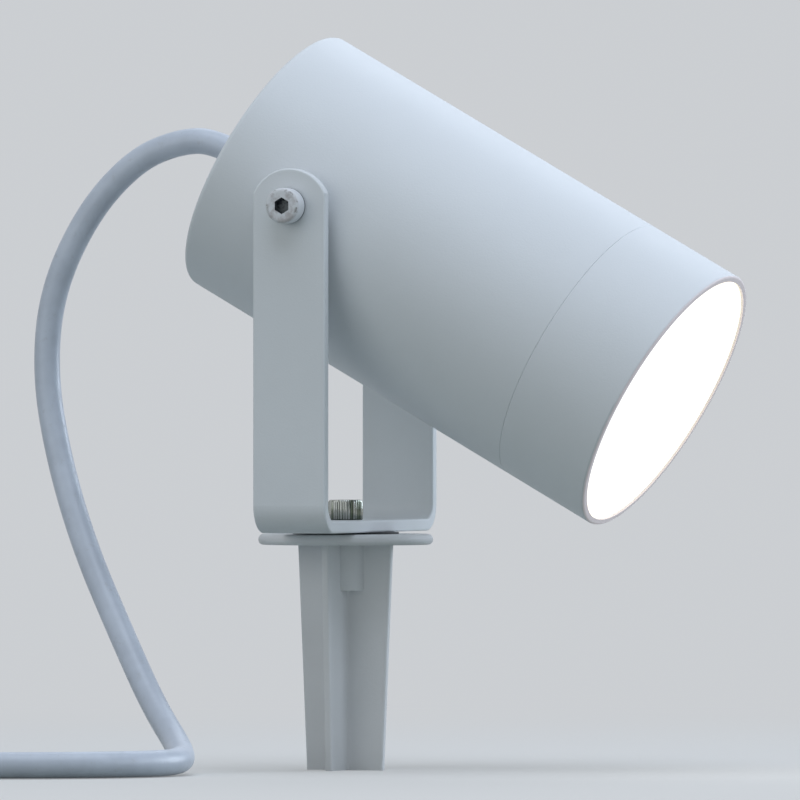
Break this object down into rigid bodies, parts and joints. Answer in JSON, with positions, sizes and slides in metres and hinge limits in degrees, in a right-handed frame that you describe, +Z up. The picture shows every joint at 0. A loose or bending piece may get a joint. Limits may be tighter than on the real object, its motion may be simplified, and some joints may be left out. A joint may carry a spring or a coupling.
{
  "type": "light projector stake",
  "caption": "Outdoor spot lamp: a cylindrical head tilts in a U bracket that swivels on a finned ground spike, with a low-voltage lead and barrel plug.",
  "frame": {"origin": "on the spike's axis at soil level", "axes": "+Z up along the spike, +X the way the lamp shines at rest, Y along the tilt axis"},
  "size_m": [0.227, 0.1314, 0.2767],
  "materials": {
    "white_paint": "matte fine-texture powder coat",
    "ring_paint": "matte fine-texture powder coat",
    "bracket_paint": "matte fine-texture powder coat",
    "spike_paint": "matte powder coat over a casting",
    "screw_paint": "paint worn at the rim and dark in the socket",
    "stainless": "bright stainless",
    "glass": "clear, lit from behind",
    "seal_rubber": "black silicone",
    "bright_aluminium": "plain machined",
    "reflector_metal": "spun and polished",
    "led_board_white": "white solder mask",
    "led_yellow": "phosphor under clear gel",
    "zinc": "zinc plated",
    "cup_plastic": "moulded",
    "board_green": "green solder mask",
    "part_black": "moulded cases",
    "terminal_green": "moulded",
    "wire_red": "insulated wire",
    "gland_plastic": "moulded nylon",
    "washer_fibre": "dark pressed fibre",
    "nylon": "plain nylon",
    "lead_grey": "satin pale grey sheath",
    "core_brown": "insulated wire",
    "plug_black": "moulded",
    "plug_metal": "nickel plated"
  },
  "bodies": {
    "stake": {"ground_spike": "spike_paint", "swivel_washer": "washer_fibre", "swivel_bolt": "stainless"},
    "bracket": {"bracket": "bracket_paint", "lead": "lead_grey", "lead_coil": "lead_grey", "lead_tail": "lead_grey", "coil_tie": "plug_black", "plug_body": "plug_black", "plug_barrel": "plug_metal", "plug_liner": "plug_black"},
    "head": {"head_housing": "white_paint", "front_ring": "ring_paint", "ring_seal": "seal_rubber", "glass_gasket": "seal_rubber", "front_glass": "glass", "heat_sink": "bright_aluminium", "led_board": "led_board_white", "led_chip": "led_yellow", "reflector": "reflector_metal", "board_screws": "zinc", "sink_screws": "zinc", "driver_cup": "cup_plastic", "driver_board": "board_green", "driver_parts": "part_black", "terminal_block": "terminal_green", "led_wires": "wire_red", "cable_gland": "gland_plastic", "gland_bush": "seal_rubber", "gland_ring": "gland_plastic", "gland_nut": "gland_plastic", "lead_entry": "lead_grey", "lead_cores": "core_brown", "pivot_washers": "nylon", "pivot_screws": "screw_paint"}
  },
  "joints": [
    {"name": "bracket_pan", "type": "hinge", "parent": "stake", "child": "bracket", "pos_m": [0, 0, 0.0493], "axis": [0, 0, 1], "range_deg": [-170, 170]},
    {"name": "head_tilt", "type": "hinge", "parent": "bracket", "child": "head", "pos_m": [0, 0, 0.1165], "axis": [0, 1, 0], "range_deg": [-119, 19], "deforming": ["lead"]}
  ]
}
